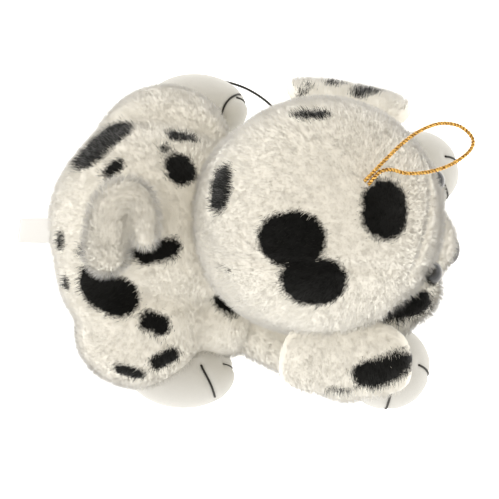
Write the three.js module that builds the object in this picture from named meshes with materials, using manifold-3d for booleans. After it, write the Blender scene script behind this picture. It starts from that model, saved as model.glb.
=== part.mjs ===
// A lying plush puppy: sewn pile-fabric covers over separate stuffings, with a ball-like seam at the
// neck, the ears, the tail and the four legs. Millimetres, +Z up, the nose towards -Y, the dog's left
// towards +X, resting on z = 0.
import * as THREE from 'three';
import { mergeVertices } from 'three/addons/utils/BufferGeometryUtils.js';
import Module from 'manifold-3d';

const wasm = await Module();
wasm.setup();

// Driving dimensions.
const COVER = 1.6; // pile fabric with its backing
const GAP = 0.35; // between touching pieces
const SEAT = 1.1; // room round a joint's ball
const SWING_ROOM = 3; // room in the body for the legs to swing
const ORIGIN = new THREE.Vector3(2.5, 5.24, 0); // the part's origin, measured from the belly's mid line

const RUMP = { centre: [0, 43, 34], radii: [42, 41, 36] };
const CHEST = { centre: [0, 5, 31], radii: [36, 35, 32] };
const HEAD = { centre: [-2, -22, 63], radii: [47, 46, 46] };
const MUZZLE = { centre: [-4, -57, 42], radii: [19, 17, 15] };
const NECK = { pivot: [-2, -9, 50], end: [-2, 13, 31], radius: 10 };
const NOD = 15; // degrees, nose up

const HIND = {
  left: { thigh: [43, 46, 24.4], foot: [59, 31, 14.6], pivot: [36, 48, 24], side: 1 },
  right: { thigh: [-43, 46, 24.4], foot: [-54, 28, 14.6], pivot: [-36, 48, 24], side: -1 },
};
const THIGH_RADII = [22, 29, 24];
const FOOT_RADII = [14.5, 23, 14.5];

const FORE = {
  left: { shoulder: [32, -1, 20], wrist: [39, -46, 15.4], paw: [36.5, -62, 15.5], side: 1 },
  right: { shoulder: [-32, 0, 20], wrist: [-46, -37, 15.4], paw: [-46.5, -52.5, 15.5], side: -1 },
};
const SHOULDER_RADIUS = 15.4;
const WRIST_RADIUS = 14.6;
const PAW_RADII = [16.5, 17.5, 15.4];

const EAR = { root: [39, -33, 52], tilt: 42, width: 50, length: 29, layer: 3.1 };
const TAIL = {
  base: [-27, 57, 63], bend: [-8, 54, 77.5], fold: [-3, 45.5, 79.2], tip: [-22, 41, 72],
  baseRadius: 8, bendRadius: 7.4, tipRadius: 5.6,
};
const EYE = { spread: 18, height: 58, radius: 4.5 };
const YARN = 1.2;
const LOOP_CORD = 1.5;

const v = (p) => new THREE.Vector3(...p);
const radians = THREE.MathUtils.degToRad;

// Turns a closed geometry into a solid that can be joined and cut.
function toSolid(geometry) {
  const bare = geometry.clone();
  bare.deleteAttribute('normal');
  bare.deleteAttribute('uv');
  const merged = mergeVertices(bare, 1e-4);
  return new wasm.Manifold(new wasm.Mesh({
    numProp: 3,
    vertProperties: merged.attributes.position.array,
    triVerts: new Uint32Array(merged.index.array),
  }));
}

function toGeometry(solid) {
  const mesh = solid.getMesh();
  const geometry = new THREE.BufferGeometry();
  geometry.setAttribute('position', new THREE.BufferAttribute(mesh.vertProperties, 3));
  geometry.setIndex(new THREE.BufferAttribute(mesh.triVerts, 1));
  return geometry;
}

function moved(solid, matrix) {
  return toSolid(toGeometry(solid).applyMatrix4(matrix));
}

function join(...solids) {
  return solids.reduce((whole, next) => whole.add(next));
}

// The largest body of a cut solid: slivers that a cut leaves behind are dropped.
function largest(solid) {
  return solid.decompose().reduce((best, next) => (next.volume() > best.volume() ? next : best));
}

function ellipsoid({ centre, radii }, grow = 0, columns = 12) {
  const rows = Math.round(columns * 0.7);
  const geometry = new THREE.SphereGeometry(1, columns, rows);
  geometry.rotateX(Math.PI / 2);
  geometry.scale(radii[0] + grow, radii[1] + grow, radii[2] + grow);
  geometry.translate(...centre);
  return toSolid(geometry);
}

// A round-ended limb from one point to another, with a radius at each end.
function limb(from, to, fromRadius, toRadius, sides = 10) {
  const axis = v(to).sub(v(from));
  const length = axis.length();
  const arc = 3;
  const profile = [];
  for (let i = 0; i <= arc; i += 1) {
    const angle = -Math.PI / 2 + (i / arc) * (Math.PI / 2);
    const radius = i === 0 ? 0 : fromRadius * Math.cos(angle);
    profile.push(new THREE.Vector2(radius, fromRadius * Math.sin(angle)));
  }
  for (let i = 0; i <= arc; i += 1) {
    const angle = (i / arc) * (Math.PI / 2);
    const radius = i === arc ? 0 : toRadius * Math.cos(angle);
    profile.push(new THREE.Vector2(radius, length + toRadius * Math.sin(angle)));
  }
  const geometry = new THREE.LatheGeometry(profile, sides);
  const turn = new THREE.Quaternion().setFromUnitVectors(new THREE.Vector3(0, 1, 0), axis.normalize());
  geometry.applyQuaternion(turn);
  geometry.translate(...from);
  return toSolid(geometry);
}

// Everything on one side of a plane: a slab that starts at the plane and runs along its normal.
function side(point, normal) {
  const slab = 300;
  const geometry = new THREE.BoxGeometry(slab, slab, slab);
  geometry.translate(0, 0, slab / 2);
  const turn = new THREE.Quaternion().setFromUnitVectors(new THREE.Vector3(0, 0, 1), v(normal).normalize());
  geometry.applyQuaternion(turn);
  geometry.translate(...point);
  return toSolid(geometry);
}

// A cord along a smooth curve through the given points.
function cord(points, diameter, steps, sides = 8) {
  const section = new THREE.Shape();
  for (let i = 0; i < sides; i += 1) {
    const angle = (i / sides) * 2 * Math.PI;
    const [x, y] = [(diameter / 2) * Math.cos(angle), (diameter / 2) * Math.sin(angle)];
    if (i === 0) section.moveTo(x, y);
    else section.lineTo(x, y);
  }
  section.closePath();
  const path = new THREE.CatmullRomCurve3(points.map(v));
  return new THREE.ExtrudeGeometry(section, { steps, extrudePath: path, bevelEnabled: false });
}

function turnAbout(pivot, axis, degrees) {
  return new THREE.Matrix4()
    .makeTranslation(...pivot)
    .multiply(new THREE.Matrix4().makeRotationAxis(v(axis).normalize(), radians(degrees)))
    .multiply(new THREE.Matrix4().makeTranslation(-pivot[0], -pivot[1], -pivot[2]));
}

// The space that a solid passes through while it turns about one axis.
function swept(solid, pivot, axis, [from, to], steps) {
  let space = solid;
  for (let i = 0; i <= steps; i += 1) {
    const angle = from + ((to - from) * i) / steps;
    space = space.add(moved(solid, turnAbout(pivot, axis, angle)));
  }
  return space;
}

const part = new THREE.Group();
part.position.copy(ORIGIN).negate();

function addMesh(name, geometry, look) {
  const material = new THREE.MeshStandardMaterial(look);
  const mesh = new THREE.Mesh(geometry, material);
  mesh.name = name;
  part.add(mesh);
}

function addSolid(name, solid, look) {
  addMesh(name, toGeometry(largest(solid)), look);
}

const PILE = { color: 0xe9e4d6, roughness: 0.95, metalness: 0 };
const SHORT_PILE = { color: 0xd9d5cc, roughness: 0.9, metalness: 0 };
const STUFFING = { color: 0xf6f6f4, roughness: 1, metalness: 0 };
const BLACK_YARN = { color: 0x17160f, roughness: 0.85, metalness: 0 };
const BLACK_PLASTIC = { color: 0x0b0b0b, roughness: 0.15, metalness: 0 };
const WHITE_PLASTIC = { color: 0xeeeeec, roughness: 0.4, metalness: 0 };
const GOLD_CORD = { color: 0xcda84f, roughness: 0.35, metalness: 0.8 };
const SATIN = { color: 0xfafaf8, roughness: 0.5, metalness: 0 };
const POUCH_CLOTH = { color: 0xd8d2c4, roughness: 0.9, metalness: 0 };
const PELLETS = { color: 0xe8e8e4, roughness: 0.5, metalness: 0 };

const belowFloor = side([0, 0, 0], [0, 0, -1]);
const UP = [0, 0, 1];
const NOSE_UP = [-1, 0, 0];

// The head and its muzzle, as a whole form that is let in by a given depth.
function headForm(grow) {
  return join(ellipsoid(HEAD, grow, 16), ellipsoid(MUZZLE, grow, 12));
}

// The room that the head needs behind and under it to nod and to turn.
const headRoom = ellipsoid({ centre: [-2, -20, 63.5], radii: [54, 51.5, 50] }, 0, 14);
const neckForm = (grow) => limb(NECK.pivot, NECK.end, NECK.radius + grow, NECK.radius + grow);
const neckRoomInHead = limb(NECK.pivot, NECK.end, NECK.radius + SEAT, NECK.radius + SEAT + 6);
const neckEndRaised = v(NECK.end).applyMatrix4(turnAbout(NECK.pivot, NOSE_UP, NOD)).toArray();
const neckRoomInBody = limb(NECK.end, neckEndRaised, NECK.radius + SEAT, NECK.radius + SEAT);

// The head: a wide crown gusset between two side panels, a muzzle panel, stuffing, eyes and nose.
const SEAM_NORMAL = [0.949, 0, 0.309];
const SEAM_OFFSET = 19.3;
function gussetSide(direction, offset) {
  const normal = [SEAM_NORMAL[0] * direction, 0, SEAM_NORMAL[2]];
  const point = v(HEAD.centre).addScaledVector(v(normal), -offset);
  return side(point.toArray(), normal.map((n) => -n));
}
const headShell = ellipsoid(HEAD, 0, 16)
  .subtract(ellipsoid(HEAD, -COVER, 16))
  .subtract(neckRoomInHead)
  .subtract(ellipsoid(MUZZLE, GAP, 12));
const eyePlaces = [-1, 1].map((direction) => {
  const x = direction * EYE.spread;
  const z = EYE.height - HEAD.centre[2];
  const depth = HEAD.radii[1] * Math.sqrt(1 - (x / HEAD.radii[0]) ** 2 - (z / HEAD.radii[2]) ** 2);
  return { name: direction > 0 ? 'left' : 'right', place: [HEAD.centre[0] + x, HEAD.centre[1] - depth, EYE.height] };
});
function outward(place, form) {
  return v(place).sub(v(form.centre)).divide(v(form.radii)).divide(v(form.radii)).normalize();
}
function postAt(place, direction, radius, inner, outer) {
  const from = v(place).addScaledVector(direction, -inner).toArray();
  const to = v(place).addScaledVector(direction, outer).toArray();
  const length = inner + outer;
  const geometry = new THREE.CylinderGeometry(radius, radius, length, 12);
  geometry.applyQuaternion(new THREE.Quaternion().setFromUnitVectors(new THREE.Vector3(0, 1, 0), direction));
  geometry.translate((from[0] + to[0]) / 2, (from[1] + to[1]) / 2, (from[2] + to[2]) / 2);
  return toSolid(geometry);
}
const POST = 1.5;
const POST_LENGTH = 9;
const NOSE = { place: [-4, -73.2, 38.5], radii: [6, 4.2, 3.8] };
const nosePoint = { place: NOSE.place, direction: outward(NOSE.place, MUZZLE) };
const posts = eyePlaces.map(({ place }) => postAt(place, outward(place, HEAD), POST + GAP, POST_LENGTH + 2, 3));
posts.push(postAt(nosePoint.place, nosePoint.direction, POST + GAP, POST_LENGTH + 2, 3));
const postRoom = join(...posts);
const washers = [...eyePlaces.map(({ name, place }) => ({
  name: `eye_${name}_washer`, place, direction: outward(place, HEAD),
})), { name: 'nose_washer', place: nosePoint.place, direction: nosePoint.direction }];
const WASHER = { radius: 5, depth: COVER + 2.2, thickness: 1.4 };
function washerSolid({ place, direction }, grow) {
  const disc = postAt(place, direction, WASHER.radius + grow, WASHER.depth + WASHER.thickness + grow,
    -WASHER.depth + grow);
  return disc;
}

const leftPanelSpace = gussetSide(-1, SEAM_OFFSET + GAP / 2);
const rightPanelSpace = gussetSide(1, SEAM_OFFSET + GAP / 2);
const gussetSpace = [gussetSide(-1, SEAM_OFFSET - GAP / 2), gussetSide(1, SEAM_OFFSET - GAP / 2)];
addSolid('crown_gusset', headShell.subtract(gussetSpace[0]).subtract(gussetSpace[1]).subtract(postRoom), PILE);
addSolid('face_left_panel', headShell.intersect(leftPanelSpace).subtract(postRoom), PILE);
addSolid('face_right_panel', headShell.intersect(rightPanelSpace).subtract(postRoom), PILE);

const muzzleShell = ellipsoid(MUZZLE, 0, 12).subtract(ellipsoid(MUZZLE, -COVER, 12))
  .subtract(ellipsoid(HEAD, -COVER - GAP, 16)).subtract(postRoom);
addSolid('muzzle_panel', muzzleShell, PILE);

let headCore = join(
  ellipsoid(HEAD, -COVER - GAP, 16).subtract(ellipsoid(MUZZLE, GAP, 12)),
  ellipsoid(MUZZLE, -COVER - GAP, 12),
).subtract(neckRoomInHead).subtract(postRoom);
for (const washer of washers) headCore = headCore.subtract(washerSolid(washer, GAP));
addSolid('head_stuffing', headCore, STUFFING);

for (const { name, place } of eyePlaces) {
  const direction = outward(place, HEAD);
  const front = v(place).addScaledVector(direction, 1.5).toArray();
  const dome = ellipsoid({ centre: front, radii: [EYE.radius, EYE.radius, EYE.radius] }, 0, 10)
    .subtract(ellipsoid(HEAD, GAP, 16));
  addSolid(`eye_${name}`, dome.add(postAt(place, direction, POST, POST_LENGTH, 2)), BLACK_PLASTIC);
}
const noseFront = v(nosePoint.place).addScaledVector(nosePoint.direction, 1.2).toArray();
const noseDome = ellipsoid({ centre: noseFront, radii: NOSE.radii }, 0, 10)
  .subtract(ellipsoid(MUZZLE, GAP, 12));
addSolid('nose', noseDome.add(postAt(nosePoint.place, nosePoint.direction, POST, POST_LENGTH, 2)), BLACK_PLASTIC);
for (const washer of washers) {
  const bore = postAt(washer.place, washer.direction, POST + GAP, 20, 20);
  addSolid(washer.name, washerSolid(washer, 0).subtract(bore), WHITE_PLASTIC);
}

// The mouth: one yarn line under the nose that follows the muzzle.
const mouthPoints = [-1, -0.5, 0, 0.5, 1].map((t) => {
  const x = t * 8;
  const z = -9.4 + 1.8 * t * t;
  const depth = (MUZZLE.radii[1] + YARN) * Math.sqrt(1 - (x / MUZZLE.radii[0]) ** 2 - (z / MUZZLE.radii[2]) ** 2);
  return [MUZZLE.centre[0] + x, MUZZLE.centre[1] - depth, MUZZLE.centre[2] + z];
});
addMesh('mouth_stitch', cord(mouthPoints, YARN, 8, 6), BLACK_YARN);

addSolid('neck_stuffing', neckForm(0), STUFFING);

// The ears: an outer layer and a lining, hung from the side of the head.
function earLayer(direction, lower, upper) {
  const half = EAR.width / 2;
  const corner = 15;
  const outline = new THREE.Shape();
  outline.moveTo(-half + 5, 0);
  outline.lineTo(half - 5, 0);
  outline.quadraticCurveTo(half, 4, half, EAR.length - corner);
  outline.quadraticCurveTo(half, EAR.length, half - corner, EAR.length);
  outline.lineTo(-half + corner, EAR.length);
  outline.quadraticCurveTo(-half, EAR.length, -half, EAR.length - corner);
  outline.quadraticCurveTo(-half, 4, -half + 5, 0);
  const geometry = new THREE.ExtrudeGeometry(outline, {
    depth: upper - lower, bevelEnabled: false, curveSegments: 5,
  });
  geometry.translate(0, 0, lower);
  const outwards = new THREE.Vector3(direction * Math.cos(radians(EAR.tilt)), 0, -Math.sin(radians(EAR.tilt)));
  const normal = new THREE.Vector3(direction * Math.sin(radians(EAR.tilt)), 0, Math.cos(radians(EAR.tilt)));
  const along = new THREE.Vector3().crossVectors(outwards, normal);
  geometry.applyMatrix4(new THREE.Matrix4().makeBasis(along, outwards, normal));
  geometry.translate(HEAD.centre[0] + direction * EAR.root[0], EAR.root[1], EAR.root[2]);
  return toSolid(geometry);
}
const EAR_LIFT = [0, 55];
for (const [name, direction] of [['left', 1], ['right', -1]]) {
  const pivot = [HEAD.centre[0] + direction * (EAR.root[0] + 2), EAR.root[1], EAR.root[2]];
  const headAside = swept(ellipsoid(HEAD, SEAT, 16), pivot, [0, direction, 0], EAR_LIFT, 2);
  const upper = earLayer(direction, GAP / 2, EAR.layer);
  const lower = earLayer(direction, -EAR.layer, -GAP / 2);
  addSolid(`ear_${name}_outer`, upper.subtract(headAside), PILE);
  addSolid(`ear_${name}_lining`, lower.subtract(headAside), PILE);
}

// The tail: a stub from the rump and a folded-over tip.
const TAIL_CURL_AXIS = [-0.624, -0.3, 0.721];
const TAIL_UNCURL = 25; // degrees
const tailTip = (grow) => limb(TAIL.fold, TAIL.tip, TAIL.bendRadius + grow, TAIL.tipRadius + grow);
const tailTipRoom = swept(tailTip(SEAT), TAIL.fold, TAIL_CURL_AXIS, [0, TAIL_UNCURL], 1);
const tailBase = (grow) => limb(TAIL.base, TAIL.bend, TAIL.baseRadius + grow, TAIL.bendRadius + grow);
addSolid('tail_base_cover', tailBase(0).subtract(tailBase(-COVER)).subtract(tailTipRoom), PILE);
addSolid('tail_base_stuffing', tailBase(-COVER - GAP).subtract(tailTipRoom), STUFFING);
addSolid('tail_tip_cover', tailTip(0).subtract(tailTip(-COVER)).subtract(limb(TAIL.fold, TAIL.bend, 3, 3, 8)), PILE);
addSolid('tail_tip_stuffing', tailTip(-COVER - GAP), STUFFING);
const tailRoom = tailBase(SEAT);

// The legs.
function hindForms({ thigh, foot }, grow) {
  return {
    thigh: ellipsoid({ centre: thigh, radii: THIGH_RADII }, grow),
    foot: ellipsoid({ centre: foot, radii: FOOT_RADII }, grow, 10),
  };
}
function foreForms({ shoulder, wrist, paw }, grow) {
  return {
    leg: limb(shoulder, wrist, SHOULDER_RADIUS + grow, WRIST_RADIUS + grow),
    paw: ellipsoid({ centre: paw, radii: PAW_RADII }, grow, 10),
  };
}
// A toe line follows the paw from above its front down towards the sole.
function toeLine({ centre, radii }, heading, tiltFrom, tiltTo) {
  const points = [0, 1, 2, 3].map((i) => {
    const tilt = radians(tiltFrom + ((tiltTo - tiltFrom) * i) / 3);
    const angle = radians(heading);
    return [
      centre[0] + (radii[0] + YARN) * Math.sin(angle) * Math.cos(tilt),
      centre[1] - (radii[1] + YARN) * Math.cos(angle) * Math.cos(tilt),
      centre[2] + (radii[2] + YARN) * Math.sin(tilt),
    ];
  });
  return cord(points, YARN, 5, 6);
}

let legRoom = null;
const roomFor = (solid) => { legRoom = legRoom ? legRoom.add(solid) : solid; };
for (const [name, leg] of Object.entries(HIND)) {
  const outer = hindForms(leg, 0);
  const inner = hindForms(leg, -COVER);
  const core = hindForms(leg, -COVER - GAP);
  const cutAway = join(ellipsoid({ centre: leg.foot, radii: FOOT_RADII }, GAP, 10), belowFloor);
  const hollow = join(inner.thigh, outer.foot);
  addSolid(`hind_${name}_thigh_cover`, outer.thigh.subtract(hollow).subtract(cutAway), PILE);
  addSolid(`hind_${name}_thigh_stuffing`, core.thigh.subtract(cutAway), STUFFING);
  const mouth = ellipsoid({ centre: leg.thigh, radii: THIGH_RADII }, -9);
  addSolid(`hind_${name}_foot_cover`, outer.foot.subtract(inner.foot).subtract(mouth), SHORT_PILE);
  addSolid(`hind_${name}_foot_stuffing`, core.foot, STUFFING);
  const footForm = { centre: leg.foot, radii: FOOT_RADII };
  addMesh(`hind_${name}_toe_line_inner`, toeLine(footForm, -leg.side * 18, 62, 12), BLACK_YARN);
  addMesh(`hind_${name}_toe_line_outer`, toeLine(footForm, leg.side * 34, 62, 8), BLACK_YARN);
  roomFor(ellipsoid({ centre: leg.thigh, radii: THIGH_RADII }, SWING_ROOM));
}
for (const [name, leg] of Object.entries(FORE)) {
  const outer = foreForms(leg, 0);
  const inner = foreForms(leg, -COVER);
  const core = foreForms(leg, -COVER - GAP);
  const pawForm = { centre: leg.paw, radii: PAW_RADII };
  const cutAway = join(ellipsoid(pawForm, GAP, 10), headRoom);
  addSolid(`fore_${name}_leg_cover`, outer.leg.subtract(inner.leg).subtract(cutAway), PILE);
  addSolid(`fore_${name}_leg_stuffing`, core.leg.subtract(cutAway), STUFFING);
  const mouth = limb(leg.shoulder, leg.wrist, WRIST_RADIUS - 8, WRIST_RADIUS - 8);
  addSolid(`fore_${name}_paw_cover`, outer.paw.subtract(inner.paw).subtract(mouth).subtract(headRoom), SHORT_PILE);
  addSolid(`fore_${name}_paw_stuffing`, core.paw.subtract(headRoom), STUFFING);
  const turnOut = name === 'right' ? 30 : -6;
  addMesh(`fore_${name}_toe_line_inner`, toeLine(pawForm, leg.side * (turnOut - 26), 58, 6), BLACK_YARN);
  addMesh(`fore_${name}_toe_line_outer`, toeLine(pawForm, leg.side * (turnOut + 26), 58, 6), BLACK_YARN);
  roomFor(foreForms(leg, SWING_ROOM).leg);
}

// The body: two back panels and a belly panel round the stuffing, with a bag of pellets low inside.
function bodyForm(grow) {
  const flat = side([0, 0, -grow], [0, 0, -1]);
  return join(ellipsoid(RUMP, grow, 14), ellipsoid(CHEST, grow, 14)).subtract(flat);
}
const bodyRoom = join(headRoom, neckRoomInBody, tailRoom, legRoom);
const POUCH = { centre: [0, 50, 21], radii: [14, 20, 11] };
const bodyShell = bodyForm(0).subtract(bodyForm(-COVER)).subtract(bodyRoom);
const BELLY_HEIGHT = 15;
const underside = side([0, 0, BELLY_HEIGHT - GAP / 2], [0, 0, -1]);
const upperside = side([0, 0, BELLY_HEIGHT + GAP / 2], [0, 0, 1]);
addSolid('belly_panel', bodyShell.intersect(underside), PILE);
addSolid('back_left_panel', bodyShell.intersect(upperside).intersect(side([GAP / 2, 0, 0], [1, 0, 0])), PILE);
addSolid('back_right_panel', bodyShell.intersect(upperside).intersect(side([-GAP / 2, 0, 0], [-1, 0, 0])), PILE);
const plug = limb([0, 50, 28], [0, 50, 85], 3, 3, 8);
addSolid('body_stuffing', bodyForm(-COVER - GAP).subtract(bodyRoom)
  .subtract(ellipsoid(POUCH, GAP, 10)).subtract(plug), STUFFING);
const pouchShell = ellipsoid(POUCH, 0, 10).subtract(ellipsoid(POUCH, -0.8, 10)).subtract(plug);
addSolid('bean_pouch', pouchShell, POUCH_CLOTH);
addSolid('bean_fill', ellipsoid(POUCH, -0.8 - GAP, 10), PELLETS);

// A blank label in the rump's seam.
const LABEL = { width: 10, length: 8, thickness: 0.6, place: [-8, 82.6, 41] };
const label = new THREE.BoxGeometry(LABEL.width, LABEL.length, LABEL.thickness);
label.translate(0, LABEL.length / 2, 0);
label.rotateX(radians(-12));
label.translate(...LABEL.place);
addSolid('blank_label', toSolid(label).subtract(ellipsoid(RUMP, GAP)), SATIN);

// The metallic cord loop on the crown: out of the crown, forwards over the brow and back.
const LOOP_POINTS = [
  [-5.2, -34.4, 107.9], [-4, -35.9, 109.9], [-1.7, -38.2, 111.7], [2.3, -41.8, 112.8], [7.9, -46.7, 112.5],
  [13.4, -52.7, 111], [17.3, -59.4, 108.5], [17.9, -65.9, 106], [15.4, -70.4, 104], [12.1, -71.1, 103],
  [8.2, -68.3, 103], [3.8, -62.8, 104], [0.3, -55.8, 106], [-1.7, -48.5, 108.5], [-2.6, -42.6, 110.4],
  [-4.6, -38.9, 109.9], [-6.6, -37.2, 107.7],
];
addMesh('gold_cord_loop', cord(LOOP_POINTS, LOOP_CORD, 26), GOLD_CORD);

// A loose end of toe yarn that lies on the floor beside the left legs.
const LOOSE_YARN_POINTS = [
  [76.6, 27.5, 9.5], [77.2, 23.7, 5.2], [77.5, 18.2, 1.8], [76.1, 12, 0.9], [73.6, 7, 0.9], [70.6, 2.5, 0.9],
  [66.6, -2.1, 0.9], [62.6, -7, 0.9],
];
addMesh('loose_toe_yarn', cord(LOOSE_YARN_POINTS, YARN, 14), BLACK_YARN);

export default part;
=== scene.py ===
"""A lying plush puppy: stuffed covers with a short pile, yarn, cords and a blank label, built round its frame."""
import math

import bmesh
import bpy
import numpy as np
from bpy.props import FloatProperty, FloatVectorProperty, IntProperty, PointerProperty
from bpy.types import Operator, Panel, PropertyGroup
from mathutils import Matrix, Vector
from mathutils.kdtree import KDTree


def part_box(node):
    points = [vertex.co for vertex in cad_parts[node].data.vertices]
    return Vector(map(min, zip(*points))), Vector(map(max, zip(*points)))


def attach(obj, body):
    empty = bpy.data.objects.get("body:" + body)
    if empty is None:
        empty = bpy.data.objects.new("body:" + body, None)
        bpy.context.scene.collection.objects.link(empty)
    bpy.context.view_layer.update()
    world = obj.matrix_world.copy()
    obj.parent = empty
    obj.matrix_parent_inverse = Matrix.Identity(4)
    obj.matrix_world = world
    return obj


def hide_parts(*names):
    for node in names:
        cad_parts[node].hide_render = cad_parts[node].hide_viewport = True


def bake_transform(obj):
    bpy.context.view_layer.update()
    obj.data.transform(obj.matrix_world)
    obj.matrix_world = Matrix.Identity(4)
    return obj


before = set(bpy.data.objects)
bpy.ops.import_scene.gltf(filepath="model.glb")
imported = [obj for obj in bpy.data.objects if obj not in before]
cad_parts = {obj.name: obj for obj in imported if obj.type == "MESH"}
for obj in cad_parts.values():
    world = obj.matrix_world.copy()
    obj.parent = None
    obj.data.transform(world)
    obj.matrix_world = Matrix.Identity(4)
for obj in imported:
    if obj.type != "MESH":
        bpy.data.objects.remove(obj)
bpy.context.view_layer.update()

bl_info = {
    "name": "Spotted plush puppy",
    "version": (1, 0, 0),
    "blender": (4, 5, 0),
    "location": "3D View > Sidebar > Puppy",
    "description": "Builds the covers, pile, yarn, cords and label of a lying plush puppy",
    "category": "Object",
}

MM = 0.001
CLOTH_FRAMES = 10
CLOTH_PRESSURE = 4
SEAM_HOLD = 1.2 * MM  # how far from a seam the cloth is held while it is blown up
MID_LINE = np.array((-2.5, -5.24, 0.0))  # the belly's mid line in the part's frame, in millimetres


def place(x, y, z):
    """A point in metres from millimetres measured from the belly's mid line."""
    return tuple(float(c) * MM for c in (np.array((x, y, z), float) + MID_LINE))


def form_of(*nodes):
    """The centre and half sizes of the box round some nodes, in metres."""
    corners = [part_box(n) for n in nodes]
    low = np.min([np.array(c[0]) for c in corners], axis=0)
    high = np.max([np.array(c[1]) for c in corners], axis=0)
    return (low + high) / 2, (high - low) / 2


HEAD_CENTRE, HEAD_RADII = form_of("crown_gusset", "face_left_panel", "face_right_panel")
HEAD_TRIM = np.array((1.8, 0.6, 1.0)) * MM


class PuppySizes(PropertyGroup):
    """Sizes of the covers and the pile."""

    cover_inset: FloatProperty(
        name="Cover inset", description="How far the backing cloth lies inside the pile's outer form",
        default=1.2 * MM, unit="LENGTH")
    pile_length: FloatProperty(
        name="Pile length", description="Length of a pile fibre", default=2.4 * MM, unit="LENGTH")
    pile_width: FloatProperty(
        name="Pile width", description="Width of a tuft at its root", default=0.2 * MM, unit="LENGTH")
    pile_density: FloatProperty(
        name="Pile density", description="Tufts on a square millimetre", default=2.8)
    voxel: FloatProperty(
        name="Voxel", description="Grid of the joined covers", default=1.3 * MM, unit="LENGTH")
    yarn: FloatProperty(
        name="Yarn", description="Thickness of the toe and mouth yarn", default=1.2 * MM, unit="LENGTH")
    loop_cord: FloatProperty(
        name="Loop cord", description="Thickness of the metallic cord", default=1.5 * MM, unit="LENGTH")
    seed: IntProperty(name="Seed", description="Start of the random draws", default=7)


class PuppyColours(PropertyGroup):
    """Colours of the materials."""

    ivory: FloatVectorProperty(
        name="Ivory pile", description="Colour of the light pile", subtype="COLOR", default=(0.955, 0.92, 0.825))
    black: FloatVectorProperty(
        name="Black pile", description="Colour of the spots", subtype="COLOR", default=(0.004, 0.004, 0.0035))
    short_pile: FloatVectorProperty(
        name="Foot cloth", description="Colour of the feet", subtype="COLOR", default=(0.58, 0.57, 0.535))
    gold: FloatVectorProperty(
        name="Gold", description="Colour of the metallic cord", subtype="COLOR", default=(0.78, 0.47, 0.12))


# The spots: for each cover, the two ends of a stroke and its half width, in millimetres.
SPOTS = {
    "head": [
        ((-1.5, 18.5, 88), (-4.8, 18.3, 88), 8.9), ((-27, -8.5, 101), (-26, -12, 101), 11.2),
        ((-38.6, -18, 92.5), (-38.6, -21, 92.5), 11.2),
        ((-11, -44.5, 104), (-14.5, -44.5, 103), 10.4),
        ((24, -12, 99.5), (24, -18.5, 100.5), 4.8), ((-31.2, 15.6, 72), (-31.8, 13, 77), 3.5),
        ((-39, -52, 62), (-32, -61, 56), 5.6), ((-24, -63, 66), (-22, -65, 58), 3), ((44, -20, 70), (43, -12, 74), 7),
        ((35, -50, 76), (39, -44, 76), 5), ((8, 24, 62), (2, 24, 60), 6),
    ],
    "body": [
        ((20, 66.5, 57.5), (29, 60.5, 55.5), 9.6), ((11, 55.4, 67), (8.5, 57.5, 67), 4),
        ((29, 34, 60.5), (30.5, 28, 58), 4.8),
        ((20, 38, 66), (21, 37, 66), 3.2), ((13.5, 31, 68), (11.5, 30, 68), 7), ((-32, 60, 53), (-36, 51, 53), 8.4),
        ((-14, 75, 50), (-15, 75, 49.5), 3.6), ((-29, 74, 44), (-29, 72, 43), 3),
        # The strokes from (-24, 47, 65) and from (-23, 41, 65), under the tail's tip, are partly black spot and partly
        # painted shadow from the tail.
        ((-22, 66, 59), (-27, 61, 58), 3.8), ((-24, 47, 65), (-22, 40, 65), 3.4),
        ((-23, 41, 65), (-20, 32, 65), 5), ((-43, 39, 48), (-44, 35, 47), 4.8), ((8, 82, 26), (14, 80, 24), 5),
        ((-31.5, 13.5, 43), (-34.5, 9, 38.5), 3.4), ((34, 4, 44), (36, -4, 40), 4),
        ((-56, 35, 39), (-53, 31, 38), 4), ((-60, 49, 36), (-61, 43, 35), 3.4), ((-46, 70, 22), (-42, 72, 20), 5),
        ((58, 55, 22), (60, 48, 20), 5), ((44, 70, 24), (38, 73, 22), 5),
    ],
    "fore_right": [((-61, -22, 27), (-62, -31, 27), 2.6), ((-33, -24, 29), (-36, -30, 29), 3)],
    "fore_left": [((52, -18, 22), (53, -27, 20), 4.5), ((36, -40, 29), (40, -42, 28), 3)],
    "ear_right": [((-56, -43, 50), (-51, -53, 51), 7.6), ((-61, -31, 43), (-61, -36, 43), 3)],
    "ear_left": [
        ((46, -13, 58), (50, -14, 55), 4), ((52, -23, 54), (54, -25, 52), 4), ((47, -34, 58), (52, -38, 54), 4.6),
        ((58, -44, 48), (58, -47, 48), 2.6),
    ],
    "tail": [],
}

TAIL_PATH = [(-23, 55.5, 64.5), (-16, 54.5, 71.5), (-10, 53, 76.5), (-6.5, 49.5, 79), (-6.5, 45.3, 78.5),
             (-12, 42.5, 76), (-18.5, 41, 73)]
TAIL_RADII = (7.4, 7.6, 7.2, 6.4, 5.8, 5.2, 3.6)

# For each foot: its two toe lines as headings and height angles in degrees, then the toes' headings.
HIND_TOES = {
    "left": (((14, 34), (16, 12), (14, -12)), ((28, 14), (20, 32), (4, 48), (-20, 52), (-42, 44), (-54, 30)),
             (-26, 2, 34)),
    "right": (((14, 34), (12, 12), (12, -12)), ((4, 66), (-14, 63), (-32, 50), (-42, 30), (-46, 14), (-47, 0)),
              (-34, 0, 26)),
}
FORE_TOES = {
    "left": (((-39, 48), (-40, 20), (-38, -14)), ((14, 52), (15, 24), (14, -12)), (-62, -12, 40)),
    "right": (((-6, 46), (-7, 22), (-9, -8)), ((-84, 44), (-87, 18), (-88, -20)), (-112, -46, 16)),
}

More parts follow.
